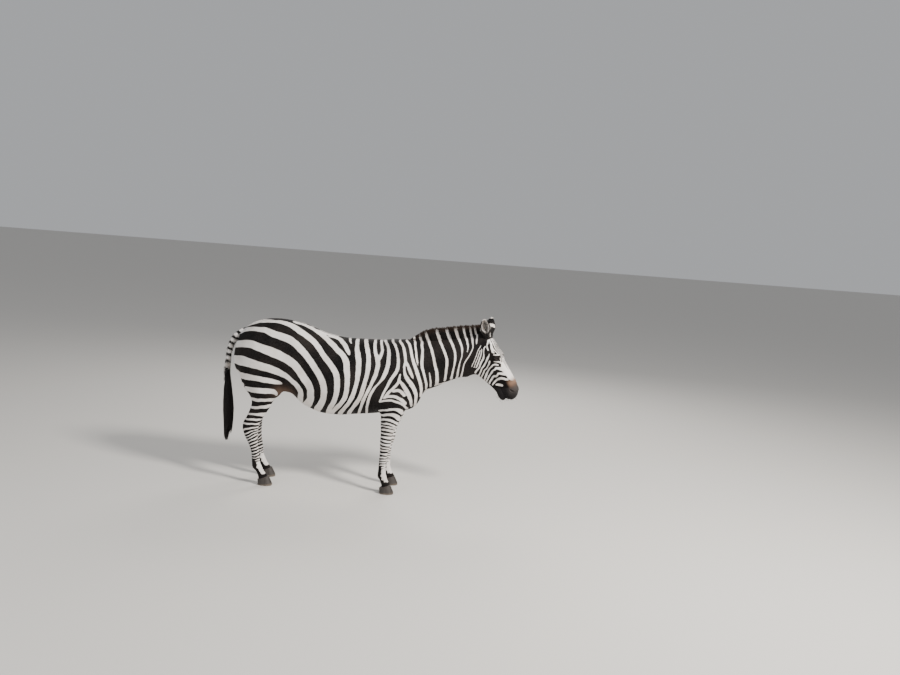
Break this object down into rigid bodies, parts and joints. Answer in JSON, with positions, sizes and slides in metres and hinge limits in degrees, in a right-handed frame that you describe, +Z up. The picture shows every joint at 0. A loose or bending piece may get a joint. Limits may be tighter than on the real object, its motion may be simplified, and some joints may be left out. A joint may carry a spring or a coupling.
{
  "type": "zebra",
  "caption": "Life-size standing plains zebra with lowered, slightly turned head, upright striped mane, tufted tail and flat-soled hooves.",
  "frame": {"origin": "on the floor, under the middle of the animal's bounding box", "axes": "+Z up, -Y the way the nose points, +X the animal's left side"},
  "size_m": [0.5202, 2.366, 1.4514],
  "materials": {
    "striped_coat": "short hair in brown-black and off-white stripes, matte with a slight sheen",
    "mane": "stiff upright hair, banded white and brown-black, brown at the tips",
    "tail_hair": "long coarse black hair",
    "eye": "dark brown, wet and glossy",
    "hoof": "dusty dark grey horn"
  },
  "bodies": {
    "root": {"barrel": "striped_coat", "chest": "striped_coat", "haunches": "striped_coat", "neck": "striped_coat", "head": "striped_coat", "ear_left": "striped_coat", "ear_right": "striped_coat", "eye_left": "eye", "eye_right": "eye", "mane": "mane", "tail_dock": "striped_coat", "tail_tuft": "tail_hair", "forearm_left": "striped_coat", "forearm_right": "striped_coat", "fore_cannon_left": "striped_coat", "fore_cannon_right": "striped_coat", "fore_pastern_left": "striped_coat", "fore_pastern_right": "striped_coat", "fore_hoof_left": "hoof", "fore_hoof_right": "hoof", "gaskin_left": "striped_coat", "gaskin_right": "striped_coat", "hind_cannon_left": "striped_coat", "hind_cannon_right": "striped_coat", "hind_pastern_left": "striped_coat", "hind_pastern_right": "striped_coat", "hind_hoof_left": "hoof", "hind_hoof_right": "hoof"}
  },
  "joints": []
}
